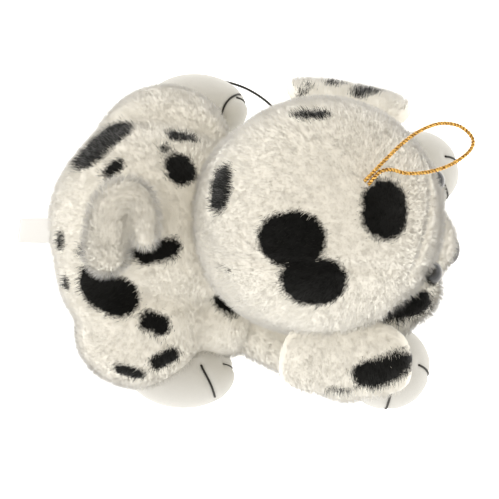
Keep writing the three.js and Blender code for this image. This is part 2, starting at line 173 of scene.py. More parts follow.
LOOP_PATH = [(-5.2, -34.4, 107.9), (-4, -35.9, 109.9), (-1.7, -38.2, 111.7), (2.3, -41.8, 112.8), (7.9, -46.7, 112.5),
             (13.4, -52.7, 111), (17.3, -59.4, 108.5), (17.9, -65.9, 106), (15.4, -70.4, 104), (12.1, -71.1, 103),
             (8.2, -68.3, 103), (3.8, -62.8, 104), (0.3, -55.8, 106), (-1.7, -48.5, 108.5), (-1.6, -43, 110.6),
             (-2.7, -39.4, 111.1), (-4.9, -37.1, 109.8), (-6.2, -35.8, 107.7)]
YARN_PATH = [(71.9, 27.5, 10.4), (73.3, 27.4, 9.9), (75.6, 26, 8.2), (76.9, 22.8, 4.6), (77.5, 17.8, 1.7),
             (76.1, 12, 0.9), (73.6, 7, 0.9), (70.6, 2.5, 0.9), (66.6, -2.1, 0.9), (62.6, -7, 0.9)]


# ---------------------------------------------------------------- mesh helpers

def deselect():
    if bpy.context.object and bpy.context.object.mode != "OBJECT":
        bpy.ops.object.mode_set(mode="OBJECT")
    bpy.ops.object.select_all(action="DESELECT")


def take(piece):
    """Makes one piece the selected and active one."""
    deselect()
    piece.select_set(True)
    bpy.context.view_layer.objects.active = piece


def settle(piece):
    """Puts the piece's place, turn and scale into its mesh."""
    take(piece)
    bpy.ops.object.transform_apply(location=True, rotation=True, scale=True)


def modify(piece, kind, **settings):
    """Adds a modifier and applies it."""
    take(piece)
    modifier = piece.modifiers.new(kind.title(), kind)
    for name, value in settings.items():
        setattr(modifier, name, value)
    bpy.ops.object.modifier_apply(modifier=modifier.name)


def ball(centre, radii, segments=32, rings=20):
    """A ball of three half sizes, in metres, as a start for a stuffed form."""
    deselect()
    bpy.ops.mesh.primitive_uv_sphere_add(segments=segments, ring_count=rings, radius=1, location=centre)
    piece = bpy.context.object
    piece.scale = radii
    settle(piece)
    return piece


def limb(start, end, start_radius, end_radius):
    """A tapered round limb with round ends."""
    start, end = Vector(start), Vector(end)
    axis = end - start
    deselect()
    bpy.ops.mesh.primitive_cone_add(
        vertices=32, radius1=start_radius, radius2=end_radius, depth=axis.length, location=(start + end) / 2,
        rotation=axis.to_track_quat("Z", "Y").to_euler())
    trunk = bpy.context.object
    settle(trunk)
    return [trunk, ball(start, (start_radius,) * 3), ball(end, (end_radius,) * 3)]


def merge(name, parts, voxel, rounds):
    """Joins overlapping forms into one soft closed skin."""
    deselect()
    for part in parts:
        part.select_set(True)
    bpy.context.view_layer.objects.active = parts[0]
    bpy.ops.object.join()
    piece = bpy.context.object
    piece.name = piece.data.name = name
    modify(piece, "REMESH", mode="VOXEL", voxel_size=voxel)
    if rounds:
        modify(piece, "SMOOTH", factor=0.5, iterations=rounds)
    return piece


def points_of(mesh):
    points = np.empty(len(mesh.vertices) * 3)
    mesh.vertices.foreach_get("co", points)
    return points.reshape(-1, 3)


def normals_of(mesh):
    normals = np.empty(len(mesh.vertices) * 3)
    mesh.vertex_normals.foreach_get("vector", normals)
    return normals.reshape(-1, 3)


def put_points(mesh, points):
    mesh.vertices.foreach_set("co", np.ascontiguousarray(points).ravel())
    mesh.update()


def unit(vectors):
    return vectors / np.maximum(np.linalg.norm(vectors, axis=-1, keepdims=True), 1e-12)


def stroke_distance(points, start, end):
    """How far each point is from a straight stroke."""
    start, along = np.array(start), np.array(end) - np.array(start)
    share = np.clip((points - start) @ along / max(along @ along, 1e-12), 0, 1)
    return np.linalg.norm(points - start - share[:, None] * along, axis=1)


def seam_distance(points, lines):
    """How far each point is from the nearest of some lines of points."""
    near = np.full(len(points), 1.0)
    for line in lines:
        for a, b in zip(line, line[1:]):
            near = np.minimum(near, stroke_distance(points, a, b))
    return near


def smooth_path(points, step):
    """A Catmull-Rom curve through the points, cut into steps of about that length."""
    p = np.array(points, float)
    p = np.vstack([2 * p[0] - p[1], p, 2 * p[-1] - p[-2]])
    curve = []
    for a, b, c, d in zip(p, p[1:], p[2:], p[3:]):
        count = max(2, int(np.linalg.norm(c - b) / step))
        t = (np.arange(count) / count)[:, None]
        curve.append(0.5 * (2 * b + (c - a) * t + (2 * a - 5 * b + 4 * c - d) * t**2 + (3 * b - a - 3 * c + d) * t**3))
    curve.append(p[-2][None])
    return np.vstack(curve)


def press_in(piece, lines, depth, width):
    """Draws seams into a skin: lines of points, a depth and a width in metres."""
    points = points_of(piece.data)
    near = seam_distance(points, lines)
    fall = np.exp(-((near / width) ** 2))
    put_points(piece.data, points - normals_of(piece.data) * (depth * fall)[:, None])


def inflate(piece, cap, seams=()):
    """Puffs the cover by a short cloth simulation, a few tenths of a millimetre, and no point by more than the cap.

    Points within SEAM_HOLD of a seam stay.
    """
    before = points_of(piece.data)
    near = seam_distance(before, seams)
    held = piece.vertex_groups.new(name="held")
    held.add(np.nonzero(near < SEAM_HOLD)[0].tolist(), 1.0, "REPLACE")
    take(piece)
    cloth = piece.modifiers.new("Stuffing", "CLOTH")
    cloth.settings.use_pressure = True
    cloth.settings.uniform_pressure_force = CLOTH_PRESSURE
    cloth.settings.vertex_group_mass = "held"
    cloth.settings.effector_weights.gravity = 0
    cloth.collision_settings.use_collision = False
    cloth.point_cache.frame_end = CLOTH_FRAMES
    for step in range(1, CLOTH_FRAMES + 1):
        bpy.context.scene.frame_set(step)
    blown = points_of(piece.evaluated_get(bpy.context.evaluated_depsgraph_get()).data)
    move = blown - before
    reach = np.linalg.norm(move, axis=1, keepdims=True)
    piece.modifiers.remove(cloth)
    piece.vertex_groups.remove(held)
    bpy.context.scene.frame_set(1)
    put_points(piece.data, before + move * np.minimum(1.0, cap / np.maximum(reach, 1e-9)))
    modify(piece, "SMOOTH", factor=0.4, iterations=2)


def keep_outside(piece, centre, radii):
    """Moves the skin's points that lie in an ellipsoid out to its surface."""
    points = points_of(piece.data)
    unitless = (points - centre) / radii
    reach = np.linalg.norm(unitless, axis=1)
    inside = reach < 1
    points[inside] = centre + unitless[inside] / np.maximum(reach[inside], 1e-6)[:, None] * radii
    put_points(piece.data, points)


def rest_on(piece, height):
    """Flattens the underside where the piece rests."""
    points = points_of(piece.data)
    points[:, 2] = np.maximum(points[:, 2], height)
    put_points(piece.data, points)


def wobble(points, size, seed):
    """A smooth field of three values between about -1 and 1."""
    draw = np.random.default_rng(seed)
    field = np.zeros((len(points), 3))
    for _ in range(5):
        wave = draw.normal(size=(3, 3)) / size
        field += np.sin(points @ wave + draw.uniform(0, 6.28, 3))
    return field / 2.6


def spot_of(points, cover):
    """Above 0 inside a spot, below 0 outside, in millimetres from its edge."""
    value = np.full(len(points), -50.0)
    for start, end, radius in SPOTS[cover]:
        edge = radius - stroke_distance(points, place(*start), place(*end)) / MM
        value = np.maximum(value, edge)
    return value + 0.45 * wobble(points, 2.6 * MM, 3)[:, 0]


# ---------------------------------------------------------------- materials

class Value:
    """A shader socket that Python's operators work on."""

    def __init__(self, tree, socket):
        self.tree = tree
        self.socket = socket

    def math(self, operation, *others):
        node = self.tree.nodes.new("ShaderNodeMath")
        node.operation = operation
        for slot_socket, value in zip(node.inputs, (self, *others)):
            if isinstance(value, Value):
                self.tree.links.new(value.socket, slot_socket)
            else:
                slot_socket.default_value = value
        return Value(self.tree, node.outputs[0])

    def __add__(self, other):
        return self.math("ADD", other)

    __radd__ = __add__

    def __mul__(self, other):
        return self.math("MULTIPLY", other)

    __rmul__ = __mul__

    def __sub__(self, other):
        return self.math("SUBTRACT", other)

    def __rsub__(self, other):
        return (self * -1) + other

    def clamp(self):
        node = self.math("ADD", 0.0)
        node.socket.node.use_clamp = True
        return node


class Finish:
    """One material, its tree and its shader."""

    def __init__(self, name, roughness, **fixed):
        self.material = bpy.data.materials.new(f"puppy_{name}")
        self.material.use_nodes = True
        self.tree = self.material.node_tree
        self.shader = self.tree.nodes["Principled BSDF"]
        self.shader.inputs["Roughness"].default_value = roughness
        for socket, value in fixed.items():
            self.shader.inputs[socket.replace("_", " ")].default_value = value

    def node(self, kind, settings=None, output=0, **sockets):
        """Adds a node: its settings first, then the values or links of its sockets."""
        node = self.tree.nodes.new(kind)
        for name, value in (settings or {}).items():
            setattr(node, name, value)
        for name, value in sockets.items():
            socket = node.inputs[name.replace("_", " ")]
            if isinstance(value, Value):
                self.tree.links.new(value.socket, socket)
            else:
                socket.default_value = value
        return Value(self.tree, node.outputs[output])

    def noise(self, scale, detail=3.0, roughness=0.55):
        where = self.node("ShaderNodeTexCoord", output="Object")
        return self.node("ShaderNodeTexNoise", Vector=where, Scale=scale, Detail=detail, Roughness=roughness)

    def blend(self, factor, first, second):
        node = self.tree.nodes.new("ShaderNodeMix")
        node.data_type = "RGBA"
        self.tree.links.new(factor.socket, node.inputs[0])
        for socket, value in ((node.inputs[6], first), (node.inputs[7], second)):
            if isinstance(value, Value):
                self.tree.links.new(value.socket, socket)
            else:
                socket.default_value = (*value, 1)
        return Value(self.tree, node.outputs[2])

    def drive(self, socket, value):
        self.tree.links.new(value.socket, self.shader.inputs[socket])

    def bump(self, height, strength, distance):
        self.drive("Normal", self.node("ShaderNodeBump", Height=height, Strength=strength, Distance=distance))


def scaled(colour, factor):
    return tuple(min(1.0, c * factor) for c in colour)


def backing_finish(colours):
    """The cloth under the pile, with its spots from the skin's own attribute."""
    finish = Finish("pile_backing", 0.95, Sheen_Weight=1.0, Sheen_Roughness=0.4, Specular_IOR_Level=0.1)
    spot = finish.node("ShaderNodeAttribute", {"attribute_name": "spot"}, output="Fac")
    fray = finish.noise(900.0)
    mask = (spot * 0.5 + (fray - 0.5) * 1.8 + 0.3).clamp()
    light = finish.blend(finish.noise(120.0), scaled(colours.ivory, 0.97), scaled(colours.ivory, 1.02))
    finish.drive("Base Color", finish.blend(mask, light, colours.black))
    finish.bump(finish.noise(1300.0, 4.0), 0.15, 0.0004)
    return finish.material


def tuft_finishes(colours):
    """The pile's tufts: four light tones and three dark ones, each one plain all over."""
    tones = [("pile_bright", scaled(colours.ivory, 1.03)), ("pile_ivory", colours.ivory),
             ("pile_cream", (colours.ivory[0] * 0.98, colours.ivory[1] * 0.97, colours.ivory[2] * 0.93)),
             ("pile_shade", scaled(colours.ivory, 0.97)),
             ("pile_black", colours.black), ("pile_soot", scaled(colours.black, 2.0)),
             ("pile_grey", scaled(colours.black, 5.0))]
    made = []
    for index, (name, colour) in enumerate(tones):
        light = index < 4
        finish = Finish(name, 0.8, Sheen_Weight=1.0 if light else 0.25, Sheen_Roughness=0.4, Specular_IOR_Level=0.1)
        finish.shader.inputs["Base Color"].default_value = (*colour, 1)
        made.append(finish.material)
    return made


def foot_finish(colours):
    finish = Finish("foot_cloth", 0.85, Sheen_Weight=0.35, Sheen_Roughness=0.5, Specular_IOR_Level=0.25)
    mottle = finish.noise(160.0)
    nap = finish.noise(2600.0, 2.0)
    base = finish.blend(mottle, scaled(colours.short_pile, 0.93), scaled(colours.short_pile, 1.06))
    finish.drive("Base Color", finish.blend(nap, base, scaled(colours.short_pile, 1.12)))
    finish.bump(nap, 0.35, 0.0003)
    return finish.material


def yarn_finish(name, colour, lift):
    finish = Finish(name, 0.8, Sheen_Weight=0.3, Specular_IOR_Level=0.3)
    fibre = finish.noise(3500.0)
    finish.drive("Base Color", finish.blend(fibre, colour, scaled(colour, lift)))
    finish.bump(fibre, 0.4, 0.0002)
    return finish.material


def gold_finish(colours):
    """Flat metallic film wound in a twist: painted highlights on the ply crests and in noise glints, between painted
    shade in the grooves.
    """
    finish = Finish("gold_cord", 0.3, Metallic=0.85)
    # The colour blends a dark brown, painted shade in the grooves between plies, with bright gold, painted highlight
    # on the ply crests and on noise glints.
    glint = finish.noise(1700.0, 1.0)
    crest = finish.node("ShaderNodeAttribute", {"attribute_name": "crest"}, output="Fac")
    painted_glint_and_groove_shade = ((glint - 0.5) * 3.4 + crest * 1.2 - 0.12).clamp()
    tone = finish.blend(painted_glint_and_groove_shade, (0.17, 0.06, 0.008), scaled(colours.gold, 1.25))
    finish.drive("Base Color", tone)
    finish.drive("Roughness", (painted_glint_and_groove_shade * -0.2 + 0.42).clamp())
    finish.bump(glint, 0.8, 0.0005)
    return finish.material


def plastic_finish(name, colour, roughness, coat):
    finish = Finish(name, roughness, Coat_Weight=coat, Coat_Roughness=0.05)
    scuff = finish.noise(700.0)
    finish.drive("Base Color", finish.blend(scuff, colour, scaled(colour, 1.25)))
    finish.drive("Roughness", (scuff * 0.1 + roughness).clamp())
    return finish.material


def woven_finish(name, colour, scale):
    finish = Finish(name, 0.7, Sheen_Weight=0.2)
    where = finish.node("ShaderNodeTexCoord", output="Object")
    threads = finish.node(
        "ShaderNodeTexWave", {"wave_type": "BANDS", "bands_direction": "X"}, Vector=where, Scale=scale, Distortion=0.4)
    finish.drive("Base Color", finish.blend(threads, scaled(colour, 0.94), colour))
    finish.bump(threads, 0.3, 0.0001)
    return finish.material


def finishes():
    """All the materials, made once."""
    if "puppy_pile_backing" in bpy.data.materials:
        return
    colours = bpy.context.scene.puppy_colours
    backing_finish(colours)
    tuft_finishes(colours)
    foot_finish(colours)
    yarn_finish("black_yarn", (0.012, 0.011, 0.009), 2.5)
    gold_finish(colours)
    plastic_finish("black_plastic", (0.006, 0.006, 0.006), 0.12, 0.6)
    plastic_finish("white_plastic", (0.82, 0.82, 0.8), 0.35, 0.0)
    plastic_finish("pellets", (0.8, 0.8, 0.78), 0.4, 0.0)
    woven_finish("satin_ribbon", (0.97, 0.97, 0.96), 2200.0)
    woven_finish("pouch_cloth", (0.72, 0.68, 0.6), 1500.0)


def wear(piece, *names):
    """Gives the piece its materials, by name."""
    finishes()
    piece.data.materials.clear()
    for name in names:
        piece.data.materials.append(bpy.data.materials[f"puppy_{name}"])


def put_on(piece, finish, body, slot, *nodes):
    """Smooths a piece, gives it its material and the body it rides on, and hides the solids it stands for; the slot
    argument is not used.
    """
    take(piece)
    bpy.ops.object.shade_smooth()
    wear(piece, finish)
    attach(piece, body)
    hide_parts(*nodes)


TUFTS = ("pile_bright", "pile_ivory", "pile_cream", "pile_shade", "pile_black", "pile_soot", "pile_grey")
LIGHT_TUFTS = 4  # the first of them are light, the others dark
PILE_LEAN = 0.6  # how far a tuft leans from the skin's normal, in radians


# ---------------------------------------------------------------- the pile

def grow_pile(skin, name, cover, comb, body=None, length=None, reach=None, keep=None, density=1.0, clump=0.12, seed=0):
    """Tapered three-sided tufts rooted all over a skin, riding on the body if one is given.

    comb gives each root's lie, reach the factor of its length, and keep says which roots grow.
    """
    sizes = bpy.context.scene.puppy_sizes
    length = length or sizes.pile_length
    draw = np.random.default_rng(sizes.seed * 1000 + seed)
    mesh = skin.data
    mesh.calc_loop_triangles()
    corners = np.empty(len(mesh.loop_triangles) * 3, np.int32)
    mesh.loop_triangles.foreach_get("vertices", corners)
    corners = corners.reshape(-1, 3)
    points, normals = points_of(mesh), normals_of(mesh)
    a, b, c = (points[corners[:, i]] for i in range(3))
    areas = np.linalg.norm(np.cross(b - a, c - a), axis=1) / 2
    count = int(areas.sum() / MM**2 * sizes.pile_density * density)
    chosen = np.searchsorted(np.cumsum(areas) / areas.sum(), draw.random(count))
    u, w = draw.random(count), draw.random(count)
    over = u + w > 1
    u[over], w[over] = 1 - u[over], 1 - w[over]
    share = np.stack([1 - u - w, u, w], axis=1)[:, :, None]
    roots = (points[corners[chosen]] * share).sum(axis=1)
    up = unit((normals[corners[chosen]] * share).sum(axis=1))
    if keep is not None:
        kept = keep(roots, up)
        roots, up = roots[kept], up[kept]
    count = len(roots)
    factor = reach(roots) if reach else np.ones(count)
    long = np.clip(factor - 1, 0, 1)[:, None]
    lengths = length * factor * draw.uniform(0.8, 1.1, count)

    lie = comb(roots, up) + 0.5 * wobble(roots, 9 * MM, 11) + 0.3 * wobble(roots, 3 * MM, 12)
    lie += draw.normal(size=(count, 3)) * 0.4
    lie = unit(lie - (lie * up).sum(axis=1, keepdims=True) * up)
    tilt = PILE_LEAN + draw.normal(size=count) * 0.18 + 0.1 * wobble(roots, 5 * MM, 13)[:, 1] + 0.25 * long[:, 0]
    along = np.cos(tilt)[:, None] * up + np.sin(tilt)[:, None] * lie
    tips = roots + along * lengths[:, None]

    tree = KDTree(count)
    centres = draw.choice(count, max(8, count // 7), replace=False)
    for index in centres:
        tree.insert(roots[index], int(index))
    tree.balance()
    owner = np.array([tree.find(root)[1] for root in roots])
    pull = draw.uniform(0.2, 1.0, count)[:, None] * (clump + 0.4 * long)
    tips += (tips[owner] - tips) * np.minimum(pull, 0.8)
    tips[:, 2] = np.maximum(tips[:, 2], 0.25 * MM)

    along = unit(tips - roots)
    side = unit(np.cross(along, up) + draw.normal(size=(count, 3)) * 0.25)
    other = np.cross(along, side)
    width = (sizes.pile_width * draw.uniform(0.7, 1.2, count) / 2)[:, None] * (1 + 0.4 * long)
    low = roots - up * 0.15 * MM
    rows = [low + (side * math.cos(turn) + other * math.sin(turn)) * width for turn in (0.0, 2.0944, 4.1888)]
    vertices = np.stack([*rows, tips], axis=1).reshape(-1, 3)

    first = np.arange(count)[:, None] * 4
    loops = np.concatenate([first + [0, 1, 3], first + [1, 2, 3], first + [2, 0, 3]], axis=1).ravel()
    pile = bpy.data.meshes.new(name)
    pile.vertices.add(len(vertices))
    pile.vertices.foreach_set("co", vertices.ravel())
    pile.loops.add(len(loops))
    pile.loops.foreach_set("vertex_index", loops.astype(np.int32))
    pile.polygons.add(count * 3)
    pile.polygons.foreach_set("loop_start", np.arange(0, count * 9, 3, dtype=np.int32))

    value = spot_of(roots, cover) + draw.normal(size=count) * 0.8
    light = np.clip((draw.random(count) * 0.9 + 0.2 * wobble(roots, 9 * MM, 21)[:, 0]) * 4 - 0.2, 0, 3).astype(int)
    dark = LIGHT_TUFTS + np.minimum((draw.random(count) ** 1.6 * 3).astype(int), 2)
    slots = np.where(value > 0, dark, light)
    pile.update(calc_edges=True)
    piece = bpy.data.objects.new(name, pile)
    bpy.context.scene.collection.objects.link(piece)
    wear(piece, *TUFTS)
    pile.polygons.foreach_set("material_index", np.repeat(slots, 3).astype(np.int32))
    pile.polygons.foreach_set("use_smooth", np.ones(count * 3, bool))
    soft = unit(up + draw.normal(size=(count, 3)) * 0.06)
    pile.normals_split_custom_set_from_vertices(np.repeat(soft, 4, axis=0))
    if body:
        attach(piece, body)
    return piece


def backwards(roots, up):
    """The lie of a pet's coat: back and a little down."""
    return np.tile((0.0, 1.0, -0.25), (len(roots), 1))


def finish_skin(skin, cover, body, *nodes):
    """Marks the spots on a skin and puts it in place of its CAD solids."""
    mesh = skin.data
    spot = mesh.attributes.new("spot", "FLOAT", "POINT")
    spot.data.foreach_set("value", spot_of(points_of(mesh), cover).astype(np.float32))
    take(skin)
    bpy.ops.object.shade_smooth()
    whole = mesh.attributes.get("whole_normal")
    if whole is not None:
        normals = np.empty(len(mesh.vertices) * 3, np.float32)
        whole.data.foreach_get("vector", normals)
        mesh.normals_split_custom_set_from_vertices(normals.reshape(-1, 3))
    wear(skin, "pile_backing")
    if body:
        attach(skin, body)
    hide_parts(*nodes)


# ---------------------------------------------------------------- operators

FLOOR_GLOW = 0.85
TENT_STRENGTH = 1.4
CAMERA_AZIMUTH, CAMERA_HEIGHT = math.radians(274), math.radians(72)
CAMERA_DISTANCE, CAMERA_LENS = 0.5, 93.7  # metres and millimetres


class PUPPY_OT_stage(Operator):
    """Adds the floor, the soft lights and the camera"""

    bl_idname = "puppy.stage"
    bl_label = "Stage"

    def execute(self, context):
        deselect()
        bpy.ops.mesh.primitive_plane_add(size=6, location=(0, 0, 0))
        floor = context.object
        floor.name = "floor"
        surface = Finish("pale_floor", 0.9, Specular_IOR_Level=0.0)
        surface.shader.inputs["Base Color"].default_value = (0.9, 0.9, 0.9, 1)
        surface.shader.inputs["Emission Color"].default_value = (1, 1, 1, 1)
        surface.shader.inputs["Emission Strength"].default_value = FLOOR_GLOW
        floor.data.materials.append(surface.material)

        world = bpy.data.worlds.new("Tent")
        context.scene.world = world
        world.use_nodes = True
        tree = world.node_tree
        where = tree.nodes.new("ShaderNodeTexCoord")
        height = tree.nodes.new("ShaderNodeSeparateXYZ")
        sky = tree.nodes.new("ShaderNodeValToRGB")
        sky.color_ramp.elements[0].color = (1.0, 1.0, 1.0, 1)
        sky.color_ramp.elements[0].position = 0.25
        sky.color_ramp.elements[1].color = (0.42, 0.37, 0.29, 1)
        sky.color_ramp.elements[1].position = 1.0
        tree.links.new(where.outputs["Generated"], height.inputs[0])
        tree.links.new(height.outputs["Z"], sky.inputs[0])
        tree.links.new(sky.outputs[0], tree.nodes["Background"].inputs[0])
        tree.nodes["Background"].inputs[1].default_value = TENT_STRENGTH
        lamps = [("key", (0.75, 0.8, 0.75), 2.3, 0.7), ("fill", (-0.4, 0.9, 0.5), 0.8, 0.7),
                 ("front", (0.2, -0.9, 0.6), 0.4, 0.6), ("top", (0.05, 0.3, 1.2), 0.3, 0.8)]
        for name, where, watts, size in lamps:
            deselect()
            bpy.ops.object.light_add(type="AREA", location=where)
            lamp = context.object
            lamp.name = name
            lamp.data.energy = watts
            lamp.data.shape = "DISK"
            lamp.data.size = size
            lamp.rotation_euler = (Vector((0, 0, 0.04)) - Vector(where)).to_track_quat("-Z", "Y").to_euler()

        level = math.cos(CAMERA_HEIGHT)
        backward = Vector((math.sin(CAMERA_AZIMUTH) * level, -math.cos(CAMERA_AZIMUTH) * level,
                           math.sin(CAMERA_HEIGHT)))
        target = Vector(place(-10, 4, 40))
        deselect()
        bpy.ops.object.camera_add(location=target + backward * CAMERA_DISTANCE)
        camera = context.object
        camera.rotation_euler = (-backward).to_track_quat("-Z", "Y").to_euler()
        camera.data.lens = CAMERA_LENS
        camera.data.clip_start = 0.01
        context.scene.camera = camera
        context.scene.view_settings.view_transform = "Standard"
        return {"FINISHED"}


def twisted_cord(name, points, diameter, plies, pitch, sides=14):
    """A twisted cord along a curve, and the line that it follows."""
    line = smooth_path(points, 0.45 * MM)
    ahead = unit(np.gradient(line, axis=0))
    side = np.cross(ahead[0], (0, 0, 1.0))
    side = side / max(np.linalg.norm(side), 1e-9)
    frames = []
    for direction in ahead:
        side = side - (side @ direction) * direction
        side = side / np.linalg.norm(side)
        frames.append((side, np.cross(direction, side)))
    run = np.concatenate([[0], np.cumsum(np.linalg.norm(np.diff(line, axis=0), axis=1))])
    angles = np.arange(sides) / sides * 2 * math.pi
    rings, crests = [], []
    for centre, (x, y), s in zip(line, frames, run):
        radius = diameter / 2 * (0.8 + 0.2 * np.cos(plies * (angles - 2 * math.pi * s / pitch)))
        crests.append(np.cos(plies * (angles - 2 * math.pi * s / pitch)) * 0.5 + 0.5)
        rings.append(centre + np.cos(angles)[:, None] * radius[:, None] * x
                     + np.sin(angles)[:, None] * radius[:, None] * y)
    vertices = np.vstack([*rings, line[:1], line[-1:]])
    faces = []
    for ring in range(len(line) - 1):
        for i in range(sides):
            j = (i + 1) % sides
            faces.append((ring * sides + i, ring * sides + j, (ring + 1) * sides + j, (ring + 1) * sides + i))
    last = (len(line) - 1) * sides
    for i in range(sides):
        j = (i + 1) % sides
        faces.append((len(vertices) - 2, j, i))
        faces.append((len(vertices) - 1, last + i, last + j))
    mesh = bpy.data.meshes.new(name)
    mesh.from_pydata(vertices.tolist(), [], faces)
    crest = mesh.attributes.new("crest", "FLOAT", "POINT")
    crest.data.foreach_set("value", np.concatenate([*crests, [0.5, 0.5]]).astype(np.float32))
    piece = bpy.data.objects.new(name, mesh)
    bpy.context.scene.collection.objects.link(piece)
    return piece, line, float(run[-1])


class PUPPY_OT_cords(Operator):
    """Adds the metallic cord loop on the crown and the loose end of toe yarn"""

    bl_idname = "puppy.cords"
    bl_label = "Cords"

    def execute(self, context):
        sizes = context.scene.puppy_sizes
        points = [place(*p) for p in LOOP_PATH]
        loop, line, length = twisted_cord("cord_loop", points, sizes.loop_cord, 2, 2.4 * MM)
        put_on(loop, "gold_cord", "head", "gold_cord", "gold_cord_loop")
        points = [place(*p) for p in YARN_PATH]
        yarn, line, length = twisted_cord("yarn_end", points, sizes.yarn, 3, 3.2 * MM)
        put_on(yarn, "black_yarn", "hind_left", "black_yarn", "loose_toe_yarn")
        return {"FINISHED"}


SEAM_NORMAL = (0.949, 0.309)  # across and up: a crown seam lies in a plane that leans inwards at its foot
SEAM_REACH = 19.3 * MM  # from the head's centre to that plane


def gusset_seam(direction):
    """The line of a crown seam from the nape to the brow, on the left (1) or the right (-1)."""
    line = []
    for angle in np.radians(np.arange(6, 175, 3)):
        share = 1.0
        for _ in range(12):
            z = math.sin(angle) * HEAD_RADII[2] * share
            x = (SEAM_REACH + SEAM_NORMAL[1] * z) / SEAM_NORMAL[0]
            share = math.sqrt(max(0.0, 1 - (x / HEAD_RADII[0]) ** 2))
        line.append(HEAD_CENTRE + np.array((direction * x, -math.cos(angle) * HEAD_RADII[1] * share, z)))
    return line


class PUPPY_OT_head(Operator):
    """Builds the head's cover with its crown gusset, brow, cheeks and muzzle"""

    bl_idname = "puppy.head"
    bl_label = "Head"

    def execute(self, context):
        sizes = context.scene.puppy_sizes
        inset = sizes.cover_inset
        muzzle_centre, muzzle_radii = np.array(place(-4, -58, 44)), np.array((17, 17.5, 14.5)) * MM - inset
        parts = [ball(HEAD_CENTRE - np.array((1.2 * MM, 0, 0)), HEAD_RADII - inset - HEAD_TRIM, segments=48, rings=32),
                 ball(muzzle_centre, muzzle_radii)]
        for x in (-23, 14):
            parts.append(ball(place(x, -54, 48), np.array((15, 15.5, 15)) * MM - inset))
            parts.append(ball(place(x * 1.2, -44, 46), np.array((17, 17, 17)) * MM))
        skin = merge("head_skin", parts, sizes.voxel, 14)
        brow = [place(x - 4, -60 + 0.012 * x * x, 86 - 0.014 * x * x) for x in range(-24, 25, 3)]
        seams = [gusset_seam(-1), gusset_seam(1), brow]
        inflate(skin, 0.9 * MM, seams)
        press_in(skin, seams, 1.6 * MM, 1.9 * MM)
        finish_skin(skin, "head", "head", "crown_gusset", "face_left_panel", "face_right_panel", "muzzle_panel",
                    "head_stuffing")

        def reach(roots):
            near = seam_distance(roots, seams)
            short = 1 - 0.5 * np.exp(-((near / (1.5 * MM)) ** 2))
            cheek = np.minimum(stroke_distance(roots, place(-34, -50, 50), place(-28, -56, 44)),
                               stroke_distance(roots, place(30, -50, 50), place(24, -56, 44)))
            front = np.linalg.norm(roots - place(-4, -62, 58), axis=1)
            longer = 1.3 * np.exp(-((cheek / (13 * MM)) ** 2)) + 0.6 * np.exp(-((front / (14 * MM)) ** 2))
            return short * (1 + longer)

        def comb(roots, up):
            lie = backwards(roots, up)
            face = np.exp(-((roots[:, 1] - place(0, -62, 0)[1]) / (14 * MM)) ** 2)[:, None]
            out = unit(roots - place(-4, -60, 42))
            return lie * (1 - face) + out * face

        grow_pile(skin, "head_pile", "head", comb, "head", reach=reach, seed=1)
        return {"FINISHED"}


HAUNCH = ((24, 40, 30), (44, 47, 30))  # where the body's cover is cut into a haunch piece: a plane through the first point, square to the line to the second, on the left side


def part_of(skin, name, wanted, drop=False):
    """A copy of the skin with only the faces whose middles are wanted, shaded as the whole skin was."""
    mesh = skin.data.copy()
    piece = bpy.data.objects.new(name, mesh)
    bpy.context.scene.collection.objects.link(piece)
    source = mesh.attributes.get("whole_normal")
    if source is None:
        source = mesh.attributes.new("whole_normal", "FLOAT_VECTOR", "POINT")
        source.data.foreach_set("vector", normals_of(mesh).astype(np.float32).ravel())
        if not drop:
            copy = skin.data.attributes.new("whole_normal", "FLOAT_VECTOR", "POINT")
            copy.data.foreach_set("vector", normals_of(mesh).astype(np.float32).ravel())
    work = bmesh.new()
    work.from_mesh(mesh)
    middles = np.array([face.calc_center_median() for face in work.faces])
    outside = [face for face, kept in zip(work.faces, wanted(middles)) if not kept]
    bmesh.ops.delete(work, geom=outside, context="FACES")
    work.to_mesh(mesh)
    work.free()
    if drop:
        bpy.data.objects.remove(skin)
        piece.name = mesh.name = name
    return piece


